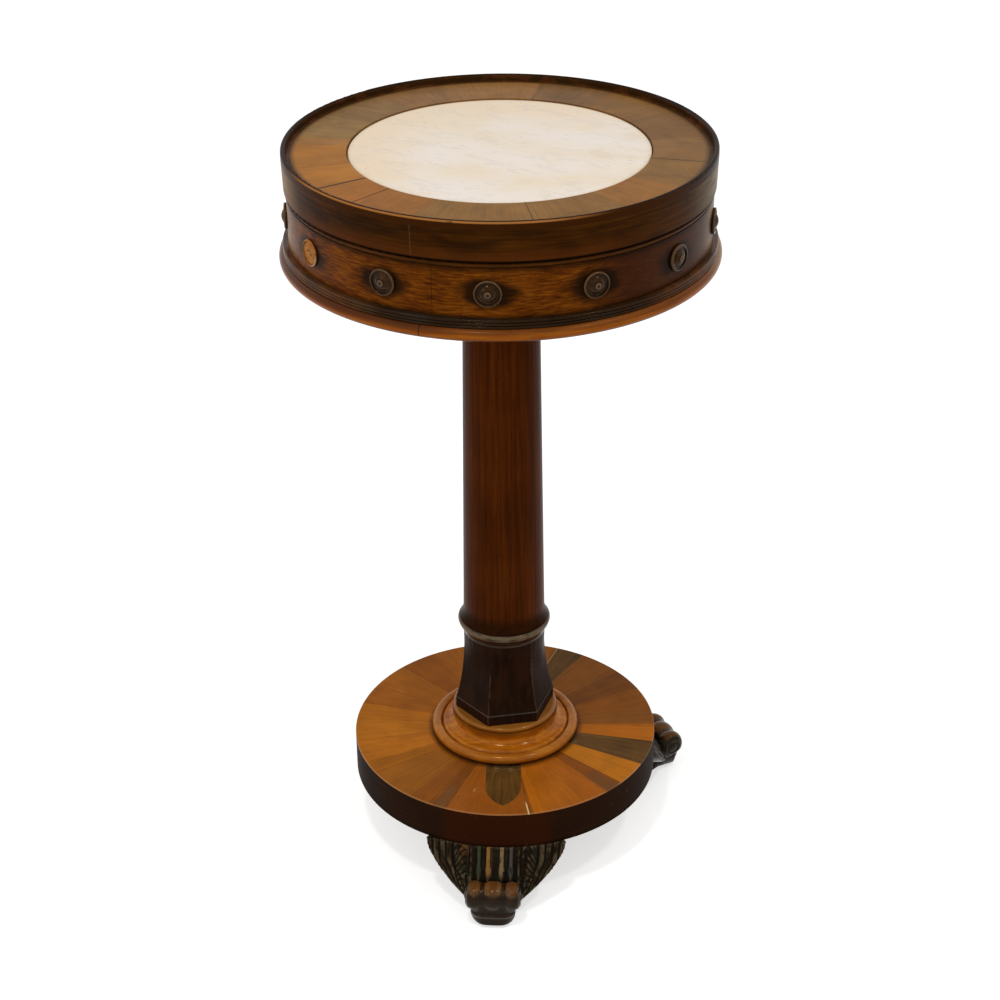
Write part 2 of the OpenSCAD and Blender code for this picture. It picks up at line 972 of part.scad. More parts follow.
module foot(turn) {
    color("#2e1c10")
        rotate([0, 0, turn])
            foot_body();
}

module foot_screws() {
    color("#57534c")
        for (turn = [front_foot_at, right_foot_at, left_foot_at], u = foot_screw_at)
            rotate([0, 0, turn])
                translate([u, 0, foot_screw_seat])
                    rotate([180, 0, 0])
                        union() {
                            cylinder(h = 3, r = foot_screw_head_r, $fn = 32);
                            translate([0, 0, -foot_screw_l + 1])
                                cylinder(h = foot_screw_l, r = foot_screw_r, $fn = 32);
                        }
}

marble_disc();
top_crossbanding();
gallery_lip();
lid_band();
lid_ground_ring();
lid_core();
lid_leaf(-1);  // left_hinge_lid_leaf
lid_leaf(1);  // right_hinge_lid_leaf
lid_hinge_screws();
frieze_hoop();
frieze_bead();
drum_floor();
well_lining();
reeded_moulding();
base_torus();
boss(1);  // boss_01
boss(2);  // boss_02
boss(3);  // boss_03
boss(4);  // boss_04
boss(5);  // boss_05
boss(6);  // boss_06
boss(7);  // boss_07
boss(8);  // boss_08
boss(9);  // boss_09
boss(10);  // boss_10
boss(11);  // boss_11
boss(12);  // boss_12
boss(13);  // boss_13
frieze_leaf(-1);  // left_hinge_frieze_leaf
frieze_leaf(1);  // right_hinge_frieze_leaf
frieze_hinge_screws();
hinge_pin(-1);  // left_hinge_pin
hinge_pin(1);  // right_hinge_pin
bearer();
bearer_screws();
shaft();
collar();
hexagonal_block();
socle();
tenon_wedge();
platform_core();
platform_edge_band();
platform_veneer();
platform_dark_wedges();
platform_shield_patch();
foot(front_foot_at);  // front_foot
foot(right_foot_at);  // right_foot
foot(left_foot_at);  // left_foot
foot_screws();
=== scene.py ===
"""Looks of a round pedestal drum table with a marble disc let into its hinged lid."""
import math

import bmesh
import bpy
from mathutils import Matrix, Vector


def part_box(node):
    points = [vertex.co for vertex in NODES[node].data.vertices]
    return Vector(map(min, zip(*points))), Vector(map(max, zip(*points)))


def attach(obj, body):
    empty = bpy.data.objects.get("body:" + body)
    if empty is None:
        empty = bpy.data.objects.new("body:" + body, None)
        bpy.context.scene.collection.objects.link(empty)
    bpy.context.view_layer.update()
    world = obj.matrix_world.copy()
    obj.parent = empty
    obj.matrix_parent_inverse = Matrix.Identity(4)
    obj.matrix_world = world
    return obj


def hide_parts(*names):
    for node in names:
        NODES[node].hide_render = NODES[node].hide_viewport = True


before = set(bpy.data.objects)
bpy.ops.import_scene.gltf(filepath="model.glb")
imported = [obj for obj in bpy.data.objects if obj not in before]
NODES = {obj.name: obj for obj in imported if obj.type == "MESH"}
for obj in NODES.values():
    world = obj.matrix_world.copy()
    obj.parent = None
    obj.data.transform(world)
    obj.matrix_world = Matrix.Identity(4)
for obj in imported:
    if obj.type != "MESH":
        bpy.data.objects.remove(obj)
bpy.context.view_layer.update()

# CARCASE: softwood and plain mahogany boards under the show surfaces, sawn and planed, never polished.
# They are seen from below and inside the well, greyed by dust, with open pores.
MM = 0.001
WARM = "#ffc48a"
# Which output of a Texture Coordinate node holds Object coordinates.
OBJECT = 3


def linear(text):
    """An sRGB hex colour as linear RGBA."""
    channels = [int(text[i : i + 2], 16) / 255 for i in (1, 3, 5)]
    return [c / 12.92 if c <= 0.04045 else ((c + 0.055) / 1.055) ** 2.4 for c in channels] + [1.0]


def add(kind, *values, out=0, stops=(), **settings):
    """Adds a node to the material in hand: settings, then values or links for its open inputs in order.

    A hex text is an sRGB colour, None leaves an input alone, and stops fill a colour ramp.
    """
    node = tree.nodes.new("ShaderNode" + kind)
    for name, value in settings.items():
        setattr(node, name, value)
    if stops:
        while len(node.color_ramp.elements) < len(stops):
            node.color_ramp.elements.new(1.0)
    for number, (position, text) in enumerate(stops):
        node.color_ramp.elements[number].position = position
        node.color_ramp.elements[number].color = linear(text)
    for socket, value in zip([s for s in node.inputs if s.enabled], values):
        if isinstance(value, bpy.types.NodeSocket):
            tree.links.new(value, socket)
        elif value is not None:
            socket.default_value = linear(value) if isinstance(value, str) else value
    return [s for s in node.outputs if s.enabled][out]


def new_material(name):
    """A material with a Principled surface. Returns it, its tree and the surface node."""
    material = bpy.data.materials.new(name)
    material.use_nodes = True
    return material, material.node_tree, material.node_tree.nodes["Principled BSDF"]


def polish(colour, roughness, height=None, depth_mm=0.1, **more):
    """Connects colour, roughness, bump and other sockets of the material in hand, by name with _ for a space.

    Old polish on dark wood throws back little and warm light, so the specular level starts low and tinted.
    """
    values = {"Base_Color": colour, "Roughness": roughness, "Specular_IOR_Level": 0.06, "Specular_Tint": WARM}
    values.update(more)
    if height is not None:
        bump = add("Bump")
        for key, value in (("Strength", 1.0), ("Distance", depth_mm * MM)):
            bump.node.inputs[key].default_value = value
        tree.links.new(height, bump.node.inputs["Height"])
        values["Normal"] = bump
    for key, value in values.items():
        socket = surface.inputs[key.replace("_", " ")]
        if isinstance(value, bpy.types.NodeSocket):
            tree.links.new(value, socket)
        else:
            socket.default_value = linear(value) if isinstance(value, str) else value


def mottle(vector, size_mm, detail=3.0, roughness=0.5, distortion=0.0):
    """Cloudy variation from 0 to 1 whose patches are about size_mm along X, Y and Z."""
    sized = add("Mapping", vector, None, None, [1 / (s * MM) for s in size_mm])
    clouds = add("TexNoise", sized, 1.0, detail, roughness)
    clouds.node.inputs["Distortion"].default_value = distortion
    return clouds


def within(value, rise=None, fall=None):
    """1 where value is inside, 0 outside: it rises and falls softly between each pair of values."""
    inside = None
    for pair, ends in ((rise, (0.0, 1.0)), (fall, (1.0, 0.0))):
        if pair:
            edge = add("MapRange", value, *pair, *ends, interpolation_type="SMOOTHSTEP")
            inside = add("Math", inside, edge, operation="MULTIPLY") if inside else edge
    return inside


def stain(colour, into, most, *masks):
    """Turns a colour into another where every mask is 1, by the share most."""
    share = most
    for mask in masks:
        share = add("Math", mask, share, operation="MULTIPLY")
    return add("Mix", share, colour, into, data_type="RGBA")


def either(*masks):
    """The strongest of several masks."""
    strongest = masks[0]
    for mask in masks[1:]:
        strongest = add("Math", strongest, mask, operation="MAXIMUM")
    return strongest


def grain(vector, tones, streak_mm, pore_mm, figure_mm=60, pore_dark="#120805", pore_share=0.5):
    """Wood: long streaks through the tones, cloudy figure and fine dark pores. Returns colour and height."""
    figure_share = 0.35
    darkest_at, palest_at = 0.36, 0.64
    streak = mottle(vector, streak_mm, 5.0, 0.6, 0.4)
    cloud = mottle(vector, [figure_mm] * 3, 2.0)
    tone = add("Mix", figure_share, streak, cloud, data_type="FLOAT")
    step = (palest_at - darkest_at) / (len(tones) - 1)
    places = [darkest_at + step * i for i in range(len(tones))]
    colour = add("ValToRGB", tone, stops=list(zip(places, tones)))
    pores = within(mottle(vector, pore_mm, 2.0, 0.7), (0.58, 0.72))
    height = add("Math", add("Math", streak, 0.5, operation="MULTIPLY"), pores, operation="SUBTRACT")
    return stain(colour, pore_dark, pore_share, pores), height


def paint(material, *names):
    """Gives CAD nodes the material."""
    for name in names:
        NODES[name].data.materials.clear()
        NODES[name].data.materials.append(material)


carcase, tree, surface = new_material("planed mahogany carcase, unpolished")
coords = add("TexCoord", out=OBJECT)
colour, height = grain(coords, ["#5d4128", "#876543", "#a5835a"], [90, 4, 4], [16, 0.6, 0.6], 60, "#2c1c10")
dust = within(mottle(coords, [35, 35, 35], 4.0), (0.45, 0.75))
polish(stain(colour, "#8d8273", 0.35, dust), 0.78, height, 0.12)
paint(carcase, "platform_core", "bearer", "drum_floor", "lid_core", "lid_ground_ring", "tenon_wedge")

# FEET: three scroll feet carved from mahogany or a like wood and screwed up under the platform's core.
# Reeds run down the steep face to a roll of three lobes over a toe pad, and a veined leaf lies on each side.
# The polish is black-brown and darker in the hollows, and worn on the crests.
# The golden, greenish and grey bands on the reeds are partly wear and partly painted highlight,
# the lobes' golden tops are partly wear and partly painted light, and the roll's underside is painted shade.
FOOT_AT = {"front_foot": -90, "right_foot": 30, "left_foot": 137}
SKIN_MM = 0.9
REED_AT = (6.9, 16.3)
REED_HALF = 2.7
REED_DEPTH = 0.8
MIDDLE_LINE_AT = 1.6
MIDDLE_LINE_DEPTH = 0.25
FACE_HALF = 24.5
ROLL_TOP = 47.0
FOOT_TOP = 66.0
LEAF_EDGE = [(17.5, 24.5), (27.5, 44.5), (50.0, 70.0), (66.0, 72.0)]
LEAF_SPLIT = 0.4
LEAF_NARROWEST = 3.0
LEAF_FULL = 26.0
VEIN_STEP = 6.2
VEIN_DEPTH = 0.95
VEIN_BEND = 0.1
BORDER_DEPTH = 1.3
LEAF_GROOVES = 4.0
LEAF_GROOVE_DEPTH = 1.15
FINE_DEPTH = 0.3
ROLL_AT = (0.0, -193.0, 31.5)
ROLL_R = 12.8
ROLL_LONG = 46.0
GROOVE_AT = 10.6
GROOVE_BEAD = (2.5, 13.9, 13.9)
TOE_BEAD_AT = (0.0, -203.4, 15.5)
TOE_BEAD_R = 3.4
TOE_BEAD_LONG = 43.0
APRON_AT = (0.0, -185.5, 17.0)
APRON_SIZE = (45.5, 40.0, 27.0)
TOE_ROUND = 17.0
TOE_TAPER = 0.32
TOE_HALF = 22.0
TOE_CORNER_CUT = 6.0
ROUND_STEPS = 48
EVEN_ROUNDS = 3
HOLLOW_ROUNDS = 14


def ramp(value, low, high):
    """0 up to low, 1 from high on, and even between them."""
    return min(1.0, max(0.0, (value - low) / (high - low)))


def smooth(shape, rounds, factor=0.5):
    """Relaxes every vertex towards its neighbours."""
    for _ in range(rounds):
        bmesh.ops.smooth_vert(
            shape, verts=shape.verts, factor=factor, use_axis_x=True, use_axis_y=True, use_axis_z=True
        )


def leaf_reach(height_mm):
    """Half width of the leaf's outline at that height, between the outline's corners."""
    for (low, near), (high, far) in zip(LEAF_EDGE, LEAF_EDGE[1:]):
        if height_mm <= high:
            return near + (far - near) * max(height_mm - low, 0.0) / (high - low)
    return LEAF_EDGE[-1][1]


def notch(distance, half_width):
    """A rounded cut, 1 in its middle and 0 from half_width on."""
    return max(0.0, 1.0 - (distance / half_width) ** 2) ** 2


def reed_cut(side, height_mm):
    """Depth in mm of the quirks beside each reed on the foot's face."""
    fade = ramp(height_mm, ROLL_TOP, ROLL_TOP + 5.0)
    cuts = [notch(abs(side - at) - REED_HALF, 1.3) for at in REED_AT]
    return fade * (REED_DEPTH * max(cuts) + MIDDLE_LINE_DEPTH * notch(abs(side - MIDDLE_LINE_AT), 1.2))


def leaf_cut(side, height_mm, inner):
    """Depth in mm of the leaf's carving: arched veins near the face, long grooves towards the edge."""
    width = leaf_reach(height_mm) - inner
    if width < LEAF_NARROWEST or side < inner:
        return 0.0
    share = (side - inner) / width
    if share > 1.05:
        return 0.0
    size = min(1.0, width / LEAF_FULL)
    if share < LEAF_SPLIT:
        arch = (height_mm + VEIN_BEND * (side - inner - 4.0) ** 2) / VEIN_STEP
        cut = VEIN_DEPTH * (1.0 - abs(math.sin(math.pi * arch))) ** 1.5
        border = notch(share - LEAF_SPLIT, 0.07) + notch(share, 0.08)
        return size * max(cut * min(1.0, share / 0.1), BORDER_DEPTH * border)
    line = (share - LEAF_SPLIT) / (1.0 - LEAF_SPLIT) * LEAF_GROOVES
    cut = LEAF_GROOVE_DEPTH * (1.0 - abs(math.sin(math.pi * line))) ** 1.5
    fine = FINE_DEPTH * (1.0 - abs(math.sin(math.pi * line * 2.0 + 0.4))) ** 2
    return size * max(cut, fine) * min(1.0, (1.05 - share) / 0.1)


shape = bmesh.new()
shape.from_mesh(NODES["front_foot"].data)
bmesh.ops.remove_doubles(shape, verts=shape.verts, dist=0.01 * MM)
across_foot = Matrix.Rotation(math.radians(90), 4, "Y")
for bar_r, bar_long, bar_at in ((ROLL_R, ROLL_LONG, ROLL_AT), (TOE_BEAD_R, TOE_BEAD_LONG, TOE_BEAD_AT)):
    bmesh.ops.create_cone(
        shape,
        cap_ends=True,
        segments=ROUND_STEPS,
        radius1=bar_r * MM,
        radius2=bar_r * MM,
        depth=bar_long * MM,
        matrix=Matrix.Translation(Vector(bar_at) * MM) @ across_foot,
    )
for hand in (-1, 1):
    groove = Matrix.Translation((Vector(ROLL_AT) + Vector((hand * GROOVE_AT, 0, 0))) * MM)
    groove = groove @ Matrix.Diagonal((*GROOVE_BEAD, 1.0))
    bmesh.ops.create_uvsphere(shape, u_segments=32, v_segments=16, radius=MM, matrix=groove)
apron = Matrix.Translation(Vector(APRON_AT) * MM) @ Matrix.Diagonal((*APRON_SIZE, 1.0))
bmesh.ops.create_cube(shape, size=MM, matrix=apron)
mesh = bpy.data.meshes.new("foot block")
shape.to_mesh(mesh)
shape.free()
block = bpy.data.objects.new("foot block", mesh)
bpy.context.scene.collection.objects.link(block)
skin = block.modifiers.new("even skin", "REMESH")
skin.mode = "VOXEL"
skin.voxel_size = SKIN_MM * MM
even = bpy.data.meshes.new_from_object(block.evaluated_get(bpy.context.evaluated_depsgraph_get()))
bpy.data.objects.remove(block)

shape = bmesh.new()
shape.from_mesh(even)
smooth(shape, EVEN_ROUNDS)
shape.normal_update()
moves = []
for vert in shape.verts:
    side, out, up = abs(vert.co.x) / MM, -vert.co.y / MM, vert.co.z / MM
    facing = ramp(-vert.normal.y, -0.25, 0.05) * ramp(vert.normal.z, -0.75, -0.45)
    below_band = 1.0 - ramp(up, FOOT_TOP - 0.5, FOOT_TOP + 0.5)
    inner = FACE_HALF + 1.0 if up > ROLL_TOP - 6 else FACE_HALF + 3.5
    depth = max(reed_cut(side, up) if side < FACE_HALF else 0.0, leaf_cut(side, up, inner))
    moves.append(vert.normal * (-depth * facing * below_band * MM))
for vert, move in zip(shape.verts, moves):
    vert.co += move
    side, out, up = abs(vert.co.x) / MM, -vert.co.y / MM, vert.co.z / MM
    vert.co.x *= 1.0 - TOE_TAPER * ramp(out, 168.0, 180.0) * max(0.0, 1.0 - up / TOE_ROUND) ** 2
    corner = min(1.0, side / TOE_HALF) ** 4 * ramp(out, 186.0, 196.0) * (1.0 - ramp(up, 19.0, 25.0))
    vert.co.y += TOE_CORNER_CUT * corner * MM
smooth(shape, rounds=1, factor=0.3)
shape.normal_update()
across = shape.verts.layers.float.new("across")
hollow = shape.verts.layers.float.new("hollow")
carved = [vert.co.copy() for vert in shape.verts]
normals = [vert.normal.copy() for vert in shape.verts]
smooth(shape, HOLLOW_ROUNDS)
for vert, place, normal in zip(shape.verts, carved, normals):
    vert[hollow] = (vert.co - place).dot(normal) / MM
    vert[across] = place.x / MM
    vert.co = place
carved_mesh = bpy.data.meshes.new("carved foot")
shape.to_mesh(carved_mesh)
shape.free()


def flat_place():
    """Object coordinates with the height taken out."""
    return add("VectorMath", add("TexCoord", out=OBJECT), (1.0, 1.0, 0.0), operation="MULTIPLY")


def radius_here():
    """Distance from the table's axis in mm."""
    return add("Math", add("VectorMath", flat_place(), operation="LENGTH"), 1 / MM, operation="MULTIPLY")


def height_here():
    """Height over the floor in mm."""
    return add("Math", add("SeparateXYZ", add("TexCoord", out=OBJECT), out=2), 1 / MM, operation="MULTIPLY")


SHEEN = "#ffe2c0"
# Which output of an Attribute node holds a plain number.
FACTOR = 2
foot_wood, tree, surface = new_material("carved mahogany, black-brown polish worn on the crests")
coords = add("TexCoord", out=OBJECT)
height_mm = height_here()
across = add("Attribute", out=FACTOR, attribute_name="across")
hollow = add("Attribute", out=FACTOR, attribute_name="hollow")
colour, height = grain(coords, ["#110b06", "#1b120a", "#271b10"], [14, 14, 30], [1.2, 1.2, 4], 25, "#080503")
bloom = within(mottle(coords, [12, 12, 20], 3.0), (0.46, 0.62))
colour = stain(colour, "#242819", 0.45, bloom)
crest = within(hollow, None, (-0.22, -0.04))
face = within(across, (-26, -23), (23, 26))
above = within(height_mm, (39, 46))
rub_and_sheen = mottle(coords, [5, 5, 16], 4.0)
colour = stain(colour, "#5e4e38", 0.72, crest, within(rub_and_sheen, (0.36, 0.6)))
# Bands down the reeds, partly wear and partly painted highlight from the lamps, broken up by a mottle.
REED_WEAR_AND_HIGHLIGHT = [(-16.3, "#38432e", 0.7), (-6.3, "#946a35", 0.92), (7.0, "#8a7150", 0.9), (16.3, "#4c4b4a", 0.6)]
for at, tint, most in REED_WEAR_AND_HIGHLIGHT:
    reed = within(across, (at - 3.6, at - 1.6), (at + 1.6, at + 3.6))
    colour = stain(colour, tint, most, reed, above, within(rub_and_sheen, (0.3, 0.46)))
orange = within(across, (-38, -34), (-27, -25))
colour = stain(colour, "#7a4516", 0.4, orange, within(height_mm, (50, 60)), within(rub_and_sheen, (0.34, 0.6)))
# The roll is painted dark below as shade, and golden along its upward-facing top band, partly wear and partly
# painted light.
worn_and_lit_tops = within(height_mm, (38.5, 44.5), (47, 50))
roll = within(radius_here(), (183, 187))
colour = stain(colour, "#1a0d08", 0.85, roll, within(height_mm, None, (37, 42)))
colour = stain(colour, "#6b4018", 0.8, worn_and_lit_tops, face, roll)
quirks = either(within(across, (-12.8, -12.0), (-9.2, -8.4)), within(across, (8.4, 9.2), (12.0, 12.8)))
colour = stain(colour, "#140c07", 0.85, quirks, roll)
colour = stain(colour, "#0b0705", 0.9, within(hollow, (0.02, 0.2)))
colour = stain(colour, "#120c08", 0.7, within(height_mm, None, (6, 14)))
shine = add("MapRange", roll, 0.0, 1.0, 0.05, 0.16)
polish(colour, 0.15, height, 0.006, Specular_IOR_Level=shine, Specular_Tint=SHEEN)

for name, azimuth in FOOT_AT.items():
    mesh = carved_mesh.copy()
    mesh.transform(Matrix.Rotation(math.radians(azimuth + 90), 4, "Z"))
    mesh.shade_smooth()
    mesh.materials.clear()
    mesh.materials.append(foot_wood)
    foot = bpy.data.objects.new("carved_" + name, mesh)
    bpy.context.scene.collection.objects.link(foot)
    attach(foot, "stand")
    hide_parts(name)

# PLATFORM EDGE: a thin bent band of mahogany, stained nearly black, redder where light has faded the front.
# A few small knocks show paler wood.
EDGE_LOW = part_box("platform_edge_band")[0].z / MM


def angle_here():
    """Angle round the table's axis in degrees, 0 at the right and -90 at the front."""
    split = add("SeparateXYZ", add("TexCoord", out=OBJECT)).node.outputs
    turn = add("Math", split[1], split[0], operation="ARCTAN2")
    return add("Math", turn, 180 / math.pi, operation="MULTIPLY")


edge, tree, surface = new_material("black-stained mahogany edge band, polished")
height_mm = height_here()
angle = angle_here()
coords = add("TexCoord", out=OBJECT)
colour, height = grain(coords, ["#150d08", "#22140b", "#2d1b10"], [55, 55, 1.6], [8, 8, 0.5], 60, "#0a0604")
front = within(angle, (-112, -106), (-72, -67))
colour = stain(colour, "#431705", 0.85, front)
colour = stain(colour, "#2a170c", 0.6, within(angle, (-140, -120), (-40, -10)))
colour = stain(colour, "#0d0805", 0.6, within(height_mm, None, (EDGE_LOW, EDGE_LOW + 5)))
knock = within(mottle(coords, [3, 3, 9], 1.0), (0.73, 0.77))
polish(stain(colour, "#7a4a2c", 0.3, knock), 0.5, height, 0.04, Specular_IOR_Level=0.01)
paint(edge, "platform_edge_band")

# PLATFORM TOP: radial sheets of walnut veneer, saw-cut and glued round the centre, french polished.
# The sheets differ in tone, and their joints show as fine dark lines.
PLATFORM_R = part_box("platform_veneer")[1].x / MM
SOCLE_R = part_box("socle")[1].x / MM
FAN_MM = 120
SHEETS = [
    (-180, "#bd711a"), (-166, "#b86c18"), (-151, "#a05e15"), (-143, "#985a18"), (-125, "#8a4d15"),
    (-115, "#7d4616"), (-108.5, "#98541a"), (-77, "#b36314"), (-72, "#ab5f14"), (-56, "#a55a14"),
    (-45, "#8a4c14"), (-39, "#bb7018"), (-23.5, "#a65f16"), (-9.5, "#b36414"), (2, "#8c531b"),
    (14, "#935418"), (27, "#804918"), (41, "#8c521a"), (58.5, "#8c521a"), (72, "#955618"),
    (90, "#a05a17"), (106, "#a86018"), (123, "#a25a16"), (139, "#ad6419"), (156, "#a55e17"),
    (168, "#b86c18"),
]


def by_angle(angle, sheets):
    """Constant colour from each angle to the next, in degrees."""
    turn = add("MapRange", angle, -180.0, 180.0, 0.0, 1.0)
    colour = add("ValToRGB", turn, stops=[((a + 180) / 360, text) for a, text in sheets])
    colour.node.color_ramp.interpolation = "CONSTANT"
    return colour


def joint_line(angle, radius, at, half_mm):
    """1 on a radial line at that angle, fading to 0 at half_mm to either side."""
    gap = add("Math", add("Math", angle, at, operation="SUBTRACT"), operation="ABSOLUTE")
    turn = add("Math", gap, math.pi / 180, operation="MULTIPLY")
    sideways = add("Math", turn, radius, operation="MULTIPLY")
    return within(sideways, None, (half_mm * 0.3, half_mm))


def fanned(radius, fan_mm):
    """Coordinates for grain that runs outwards: the place on a circle of fan_mm, and the radius as third."""
    unit = add("VectorMath", flat_place(), operation="NORMALIZE")
    fan = add("VectorMath", unit, fan_mm * MM, operation="SCALE")
    split = add("SeparateXYZ", fan).node.outputs
    return add("CombineXYZ", split[0], split[1], add("Math", radius, MM, operation="MULTIPLY"))


def fan_veneer(sheets, fan_mm, streak_mm, contrast, joint_dark, joint_share):
    """Radial veneer: tinted sheets with grain along the radius and a broken line at each joint.

    It reads the radius, angle and coords of the material in hand. Returns colour and height.
    """
    vector = fanned(radius, fan_mm)
    streak = mottle(vector, streak_mm, 4.0, 0.6, 0.3)
    cloud = mottle(coords, [28, 28, 28], 3.0, 0.5, 0.6)
    pores = within(mottle(vector, [0.7, 0.7, 9], 2.0, 0.7), (0.6, 0.74))
    tone = add("Mix", 0.5, streak, cloud, data_type="FLOAT")
    bright = add("MapRange", tone, 0.3, 0.7, 1.0 - contrast, 1.0 + contrast)
    colour = add("HueSaturation", 0.5, 1.0, bright, 1.0, by_angle(angle, sheets))
    colour = stain(colour, joint_dark, 0.3, pores)
    lines = either(*[joint_line(angle, radius, a, 0.5) for a, _ in sheets])
    lines = add("Math", lines, within(mottle(vector, [4, 4, 12], 2.0), (0.35, 0.6)), operation="MULTIPLY")
    height = add("Math", add("Math", streak, 0.5, operation="MULTIPLY"), lines, operation="SUBTRACT")
    return stain(colour, joint_dark, joint_share, lines), height


platform_top, tree, surface = new_material("walnut radial veneer, french polished")
radius = radius_here()
angle = angle_here()
coords = add("TexCoord", out=OBJECT)
colour, height = fan_veneer(SHEETS, FAN_MM, [3.2, 3.2, 60], 0.22, "#3c1d0b", 0.6)
colour = stain(colour, "#c08a58", 0.45, within(radius, (PLATFORM_R - 1.0, PLATFORM_R - 0.3)))
# Painted shadow of the socle on the veneer round its foot.
colour = stain(colour, "#241206", 0.75, within(radius, None, (SOCLE_R - 1, SOCLE_R + 7)))
colour = stain(colour, "#6d4626", 0.7, within(angle, (-47, -45), (-40, -38.5)), within(radius, (118, 132)))
smoky = within(angle, (-114, -112.5), (-110, -108.5))
colour = stain(colour, "#6b5335", 0.35, smoky, within(radius, (119, 126)))
chip = joint_line(angle, radius, -77.7, 1.1)
colour = stain(colour, "#e6c48c", 1.0, chip, within(radius, (PLATFORM_R - 22, PLATFORM_R - 12)))
speck = joint_line(angle, radius, -101, 2.2)
speck = add("Math", speck, within(radius, (117.5, 119), (123, 125)), operation="MULTIPLY")
colour = stain(colour, "#e8c79a", 0.9, speck, within(mottle(coords, [1.4, 1.4, 1.4], 1.0), (0.54, 0.6)))
colour = stain(colour, "#c9a26a", 0.9, joint_line(angle, radius, 71.6, 1.0))
polish(colour, 0.3, height, 0.02, Specular_IOR_Level=0.05)
paint(platform_top, "platform_veneer")

# DARK WEDGES AND SHIELD PATCH: old repairs let into the platform's top where the veneer had lifted.
# They took the stain differently, olive-brown and flatter in sheen, and the shield is scuffed by the socle.
patch, tree, surface = new_material("dark walnut repair veneer, dull polish")
radius = radius_here()
coords = add("TexCoord", out=OBJECT)
vector = fanned(radius, FAN_MM)
PATCH_TONES = ["#4f3516", "#5f401b", "#6e4c22"]
colour, height = grain(vector, PATCH_TONES, [3, 3, 50], [0.7, 0.7, 9], 30, "#24160a", 0.4)
scuff = within(mottle(coords, [7, 1.4, 1], 3.0), (0.5, 0.66))
colour = stain(colour, "#9a8463", 0.5, within(radius, None, (SOCLE_R + 5, SOCLE_R + 13)), scuff)
# Painted shadow of the socle on the patch round its foot.
colour = stain(colour, "#1f1207", 0.8, within(radius, None, (SOCLE_R - 1, SOCLE_R + 5)))
polish(colour, 0.4, height, 0.03)
paint(patch, "platform_dark_wedges", "platform_shield_patch")

# SOCLE: one turning of walnut or birch, stained orange-brown and polished bright, glued over the tenon.
# The quirk inside its outer bead is painted dark as shade.
socle_wood, tree, surface = new_material("turned walnut socle, bright french polish")
radius = radius_here()
height_mm = height_here()
coords = add("TexCoord", out=OBJECT)
SOCLE_FOOT, SOCLE_TOP = (corner.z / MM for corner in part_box("socle"))
SOCLE_TONES = ["#8f4c08", "#b0620c", "#c87c16"]
GOLDEN = "#ffd9a0"
colour, height = grain(coords, SOCLE_TONES, [34, 9, 9], [5, 0.7, 0.7], 45, "#7d420e", 0.2)
# Painted shade in the quirk inside the outer bead.
quirk = within(radius, (60.5, 64.5), (71.0, 73.0))
deep = within(height_mm, None, (SOCLE_FOOT + 5.2, SOCLE_FOOT + 9.5))
colour = stain(colour, "#2b1c08", 0.9, quirk, deep)
colour = stain(colour, "#a5621c", 0.5, within(radius, (SOCLE_R - 9, SOCLE_R - 6)))
# Painted shade along the socle's foot, under its outer bead.
colour = stain(colour, "#2b1507", 0.75, within(height_mm, None, (SOCLE_FOOT, SOCLE_FOOT + 3.5)))
# Painted shade on the neck, under the hexagonal block.
colour = stain(colour, "#6b3c12", 0.65, within(height_mm, (SOCLE_TOP - 10, SOCLE_TOP - 7)))
# Painted light along the neck ring's top edge.
colour = stain(colour, "#9a6428", 0.5, within(height_mm, (SOCLE_TOP - 2.5, SOCLE_TOP - 1)))
polish(colour, 0.17, height, 0.002, Specular_IOR_Level=0.3, Specular_Tint=GOLDEN)
paint(socle_wood, "socle")

# HEXAGONAL BLOCK: one piece brought from round at its top to six flared flats, stained nearly black.
# Its arrises are paler, partly rub wear and partly painted highlight, and a scribed line runs round it above
# the foot.
BLOCK_ARRIS = (-166, -106, -46, 14, 74, 134)
SCRIBED = 11.5
BLOCK_FOOT, BLOCK_TOP = (corner.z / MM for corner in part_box("hexagonal_block"))
LINE_AT = BLOCK_FOOT + SCRIBED
block_wood, tree, surface = new_material("black-stained mahogany block, polished")
radius = radius_here()
height_mm = height_here()
angle = angle_here()
coords = add("TexCoord", out=OBJECT)
colour, height = grain(coords, ["#140c08", "#20130c", "#2c180f"], [5, 5, 60], [0.7, 0.7, 8], 40, "#080504")
colour = stain(colour, "#301a0d", 0.55, within(mottle(coords, [22, 22, 40], 3.0), (0.45, 0.65)))
rub_and_sheen = within(mottle(coords, [6, 6, 14], 3.0), (0.38, 0.6))
# Paler arrises: painted highlight along each arris, broken up like rub wear.
arrises = either(*[joint_line(angle, radius, a, 0.9) for a in BLOCK_ARRIS])
faceted = within(height_mm, None, (BLOCK_TOP - 40, BLOCK_TOP - 15))
colour = stain(colour, "#6d4a38", 0.5, arrises, rub_and_sheen, faceted)
line = within(height_mm, (LINE_AT - 0.9, LINE_AT - 0.3), (LINE_AT + 0.3, LINE_AT + 0.9))
colour = stain(colour, "#6f655c", 0.55, line)
polish(colour, 0.36, height, 0.03, Specular_IOR_Level=0.03)
paint(block_wood, "hexagonal_block")

# COLLAR: a turned bead between two hollows, where the shaft meets the block, glued over the shaft's foot.
# Ebonised, with a grey-brown band along the bead that is partly rub wear and partly painted sheen.
collar_wood, tree, surface = new_material("ebonised turned bead, worn and painted with sheen")
radius = radius_here()
coords = add("TexCoord", out=OBJECT)
COLLAR_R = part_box("collar")[1].x / MM
COLLAR_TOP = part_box("collar")[1].z / MM
colour, height = grain(coords, ["#1c120b", "#2a1a10", "#3c281a"], [40, 40, 2], [6, 6, 0.5], 30)
bead_rub_and_sheen = within(mottle(coords, [16, 16, 6], 3.0), (0.25, 0.55))
